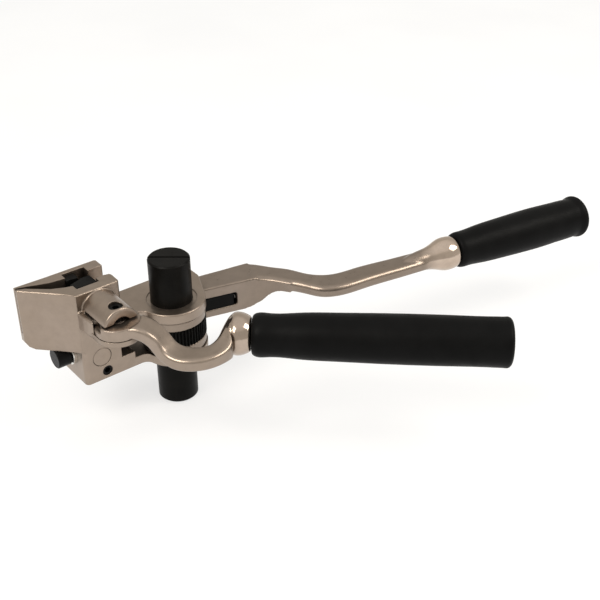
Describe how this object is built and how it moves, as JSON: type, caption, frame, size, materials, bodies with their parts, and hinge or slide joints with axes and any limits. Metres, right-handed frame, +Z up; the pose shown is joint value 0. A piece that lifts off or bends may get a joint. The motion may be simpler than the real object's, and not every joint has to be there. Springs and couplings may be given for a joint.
{
  "type": "strapping tensioner tool",
  "caption": "Hand tool for steel strap: slotted mandrel turned by a ratchet lever, forked head with a strap slot, and a second lever that drives a cutting blade.",
  "frame": {"origin": "on the mandrel axis at the mid-plane of the ratchet wheel", "axes": "+Z up along the mandrel towards its slotted end, the nose points to -X, the two handles point to +X, the cutter lever lies on the -Y side"},
  "size_m": [0.3573, 0.1861, 0.0929],
  "materials": {
    "nickel": "cast and nickel plated, satin",
    "bush_steel": "oiled dark steel",
    "black_oxide": "black oxide, satin",
    "bright_steel": "ground steel",
    "black_fastener": "black fastener steel",
    "tool_steel": "hardened dark tool steel",
    "spring_steel": "bright spring wire",
    "grip_plastic": "moulded black, fine grain",
    "chrome_trim": "bright chrome"
  },
  "bodies": {
    "frame": {"frame_body": "nickel", "upper_bush": "bush_steel", "lower_bush": "bush_steel", "fixed_blade": "tool_steel", "fixed_blade_screws": "black_fastener", "pivot_screw": "black_fastener", "guide_plug": "nickel", "side_grub_screw": "black_fastener", "plunger_guide": "chrome_trim"},
    "winding_mandrel": {"mandrel": "black_oxide", "ratchet_wheel": "black_oxide", "wheel_key": "bright_steel", "retaining_collar": "black_oxide", "collar_set_screw": "black_fastener"},
    "ratchet_handle": {"ratchet_lever": "nickel", "rear_grip": "grip_plastic", "spring_seat": "tool_steel", "spring_pin": "bright_steel"},
    "drive_pawl": {"drive_pawl": "tool_steel", "drive_pawl_spring": "spring_steel"},
    "holding_plunger": {"holding_pawl": "tool_steel", "holding_pawl_spring": "spring_steel", "release_knob": "black_fastener", "knob_pin": "bright_steel"},
    "cutter_handle": {"cutter_lever": "nickel", "cutter_grip": "grip_plastic", "pivot_bush": "bush_steel"},
    "cutting_blade": {"moving_blade": "tool_steel", "blade_plunger": "tool_steel", "blade_return_spring": "spring_steel", "blade_cross_pin": "bright_steel"}
  },
  "joints": [
    {"name": "mandrel_spin", "type": "hinge", "parent": "frame", "child": "winding_mandrel", "pos_m": [0, 0, 0], "axis": [0, 0, 1], "continuous": true},
    {"name": "ratchet_lever_swing", "type": "hinge", "parent": "frame", "child": "ratchet_handle", "pos_m": [0, 0, 0], "axis": [0, 0, 1], "range_deg": [-3, 60]},
    {"name": "drive_pawl_lift", "type": "slide", "parent": "ratchet_handle", "child": "drive_pawl", "axis": [0.9744, -0.225, 0], "range_m": [0, 0.0015], "stiffness_N_per_m": 300, "springref_m": -0.003, "deforming": ["drive_pawl_spring"]},
    {"name": "holding_pawl_release", "type": "slide", "parent": "frame", "child": "holding_plunger", "axis": [-1, 0, 0], "range_m": [0, 0.003], "stiffness_N_per_m": 300, "springref_m": -0.003, "deforming": ["holding_pawl_spring"]},
    {"name": "cutter_lever_swing", "type": "hinge", "parent": "frame", "child": "cutter_handle", "pos_m": [-0.04582, -0.02029, 0.028], "axis": [0, 0, 1], "range_deg": [-35, 12]},
    {"name": "blade_stroke", "type": "slide", "parent": "frame", "child": "cutting_blade", "axis": [0, 1, 0], "range_m": [-0.00289, 0.001], "deforming": ["blade_return_spring"]}
  ],
  "couplings": [
    {"joint": "blade_stroke", "follows": "cutter_lever_swing", "m_per_rad": 0.0047}
  ]
}
